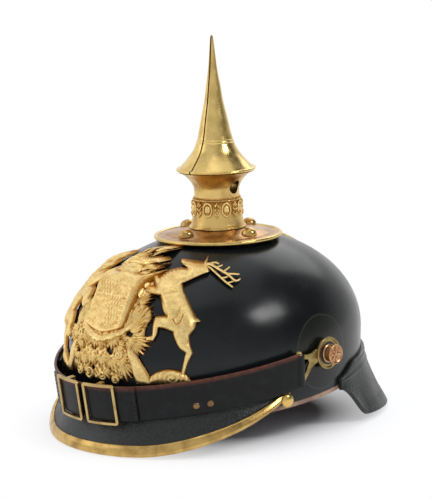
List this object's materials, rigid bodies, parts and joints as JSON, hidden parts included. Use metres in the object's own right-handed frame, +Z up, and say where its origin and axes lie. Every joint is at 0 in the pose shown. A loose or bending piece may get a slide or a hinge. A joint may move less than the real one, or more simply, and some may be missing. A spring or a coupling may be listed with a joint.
{
  "type": "spiked helmet",
  "caption": "Leather parade helmet with a screw-in brass spike, pierced front plate, brass-bound visor, neck guard, rear vent slide and leather chin strap laid over the visor.",
  "frame": {"origin": "on the plane the helmet rests on, under the spike's axis", "axes": "+Z up along the spike, -Y to the front of the helmet, +X to the wearer's left"},
  "size_m": [0.208, 0.2514, 0.2613],
  "materials": {
    "black_lacquered_leather": "lacquered and polished",
    "black_visor_leather": "lacquered, fine grain",
    "sweatband_leather": "bare vegetable-tanned, worn",
    "liner_leather": "bare, matte",
    "strap_leather": "waxed with raw brown edges",
    "pad_leather": "bare",
    "gilt_brass": "gilt, bright",
    "polished_brass": "polished",
    "cast_brass": "satin",
    "copper": "polished copper-coloured rivets",
    "iron": "blackened",
    "cord": "twisted cord"
  },
  "bodies": {
    "helmet": {"skull": "black_lacquered_leather", "front_visor": "black_visor_leather", "visor_trim": "polished_brass", "visor_trim_studs": "polished_brass", "neck_guard": "black_visor_leather", "sweatband": "sweatband_leather", "liner_tongues": "liner_leather", "liner_drawstring": "cord", "base_disc": "polished_brass", "base_pad": "pad_leather", "base_studs": "polished_brass", "base_stud_washers": "iron", "spike_neck": "polished_brass", "neck_ornament_band": "gilt_brass", "neck_socket": "cast_brass", "rear_spine": "polished_brass", "rear_spine_stud": "polished_brass", "front_plate": "gilt_brass", "front_plate_lugs": "cast_brass", "front_plate_nuts": "iron", "side_post_left": "cast_brass", "side_post_right": "cast_brass", "side_post_nuts": "iron", "rosette_left": "gilt_brass", "rosette_right": "gilt_brass"},
    "spike_screw": {"spike_stem": "cast_brass"},
    "spike_cone": {"spike": "polished_brass", "spike_base_plate": "cast_brass"},
    "strap": {"chin_strap": "strap_leather", "strap_rivets": "copper", "strap_hanger_left": "polished_brass", "strap_hanger_right": "polished_brass"},
    "left_buckle": {"buckle_left": "polished_brass", "strap_tab_left": "strap_leather"},
    "right_buckle": {"buckle_right": "polished_brass", "strap_tab_right": "strap_leather"},
    "vent_slide": {"rear_vent_cover": "polished_brass"}
  },
  "joints": [
    {"name": "spike_lift", "type": "slide", "parent": "helmet", "child": "spike_screw", "axis": [0, 0, 1], "range_m": [0, 0.00605]},
    {"name": "spike_turn", "type": "hinge", "parent": "spike_screw", "child": "spike_cone", "pos_m": [0, 0, 0.171], "axis": [0, 0, 1], "range_deg": [0, 1440]},
    {"name": "strap_swing", "type": "hinge", "parent": "helmet", "child": "strap", "pos_m": [0, 0.005, 0.0552], "axis": [-1, 0, 0], "range_deg": [0, 70]},
    {"name": "left_buckle_slide", "type": "hinge", "parent": "strap", "child": "left_buckle", "pos_m": [0, -0.04559, 0.04503], "axis": [0, -0.1406, 0.9901], "range_deg": [0, 6]},
    {"name": "right_buckle_slide", "type": "hinge", "parent": "strap", "child": "right_buckle", "pos_m": [0, -0.04559, 0.04503], "axis": [0, 0.1406, -0.9901], "range_deg": [0, 6]},
    {"name": "vent_cover_slide", "type": "slide", "parent": "helmet", "child": "vent_slide", "axis": [0, 0.0649, 0.9979], "range_m": [0, 0.007]}
  ],
  "couplings": [
    {"joint": "spike_lift", "follows": "spike_turn", "m_per_rad": 0.00023873}
  ]
}
